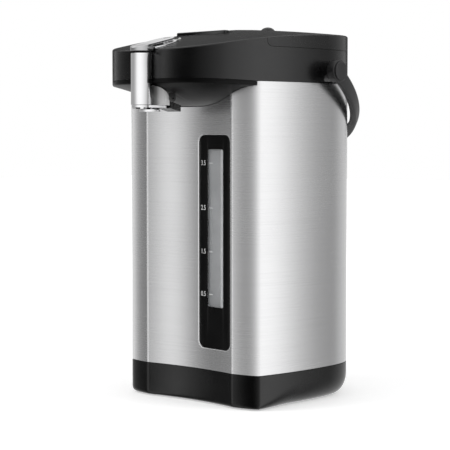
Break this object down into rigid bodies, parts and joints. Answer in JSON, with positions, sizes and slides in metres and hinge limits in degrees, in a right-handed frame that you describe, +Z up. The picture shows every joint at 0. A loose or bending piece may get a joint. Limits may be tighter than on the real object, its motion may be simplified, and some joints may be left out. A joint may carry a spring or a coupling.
{
  "type": "thermo pot",
  "caption": "Countertop thermo pot with a brushed steel body, a black head with a chrome spout and press lever, a rear-hinged lid, a front water gauge and a bail handle.",
  "frame": {"origin": "on the surface that the feet stand on, under the middle of the bounding box at rest", "axes": "+Z up, +Y towards the lid's hinge, so the spout looks along -Y, and +X to the right for someone facing along +Y"},
  "size_m": [0.213, 0.2556, 0.345],
  "materials": {
    "black_plastic": "fine satin",
    "gloss_black": "polished",
    "brushed_steel": "brushed round the body",
    "bright_steel": "bright",
    "chrome": "polished plating",
    "clear_plastic": "clear",
    "rubber": "matt",
    "white_plastic": "satin",
    "foam": "open foam",
    "brass": "bright",
    "circuit_board": "lacquered laminate"
  },
  "bodies": {
    "housing": {"base_shell": "black_plastic", "bottom_cover": "black_plastic", "base_screw_1": "bright_steel", "base_screw_2": "bright_steel", "base_screw_3": "bright_steel", "base_screw_4": "bright_steel", "foot_1": "rubber", "foot_2": "rubber", "foot_3": "rubber", "foot_4": "rubber", "steel_shell": "brushed_steel", "gauge_bezel": "gloss_black", "gauge_window": "clear_plastic", "sight_tube": "clear_plastic", "top_housing": "black_plastic", "chin_cover": "black_plastic", "spout_cover": "chrome", "spout_base_ring": "chrome", "nozzle": "chrome", "spout_pipe": "rubber", "lever_escutcheon": "chrome", "lever_pin": "bright_steel", "indicator_lens": "white_plastic", "control_board": "circuit_board", "cup_lever_pin": "bright_steel", "inner_vessel": "bright_steel", "vessel_seal": "rubber", "insulation_sleeve": "foam", "heater_plate": "bright_steel", "thermostat": "bright_steel", "pump_motor": "bright_steel", "pump_housing": "white_plastic", "suction_pipe": "rubber", "power_inlet": "black_plastic", "inlet_pin_1": "brass", "inlet_pin_2": "brass", "power_board": "circuit_board", "lid_hinge_pin": "bright_steel", "handle_pin_left": "bright_steel", "handle_pin_right": "bright_steel"},
    "lid": {"lid_cover": "black_plastic", "lid_inner": "black_plastic", "lid_gasket": "rubber", "steam_vent_cap": "gloss_black"},
    "latch": {"lid_latch": "gloss_black"},
    "handle": {"handle_bail": "black_plastic", "handle_cap_left": "gloss_black", "handle_cap_right": "gloss_black"},
    "press_lever": {"dispense_lever": "chrome"},
    "cup_paddle": {"cup_lever": "black_plastic"},
    "impeller": {"pump_impeller": "white_plastic"}
  },
  "joints": [
    {"name": "lid_hinge", "type": "hinge", "parent": "housing", "child": "lid", "pos_m": [0, 0.10942, 0.3195], "axis": [-1, 0, 0], "range_deg": [0, 80]},
    {"name": "latch_slide", "type": "slide", "parent": "lid", "child": "latch", "axis": [0, 1, 0], "range_m": [0, 0.004], "stiffness_N_per_m": 300, "springref_m": -0.002},
    {"name": "handle_swing", "type": "hinge", "parent": "housing", "child": "handle", "pos_m": [0, 0.03112, 0.2996], "axis": [1, 0, 0], "range_deg": [0, 125]},
    {"name": "dispense_press", "type": "hinge", "parent": "housing", "child": "press_lever", "pos_m": [0, -0.08208, 0.3192], "axis": [1, 0, 0], "range_deg": [0, 1.6], "stiffness_Nm_per_rad": 2, "springref_deg": -1.15},
    {"name": "cup_push", "type": "hinge", "parent": "housing", "child": "cup_paddle", "pos_m": [0, -0.08658, 0.2745], "axis": [1, 0, 0], "range_deg": [0, 12], "stiffness_Nm_per_rad": 0.05, "springref_deg": -5.73},
    {"name": "impeller_spin", "type": "hinge", "parent": "housing", "child": "impeller", "pos_m": [0.03, -0.02858, 0.0423], "axis": [0, 0, 1], "continuous": true}
  ]
}
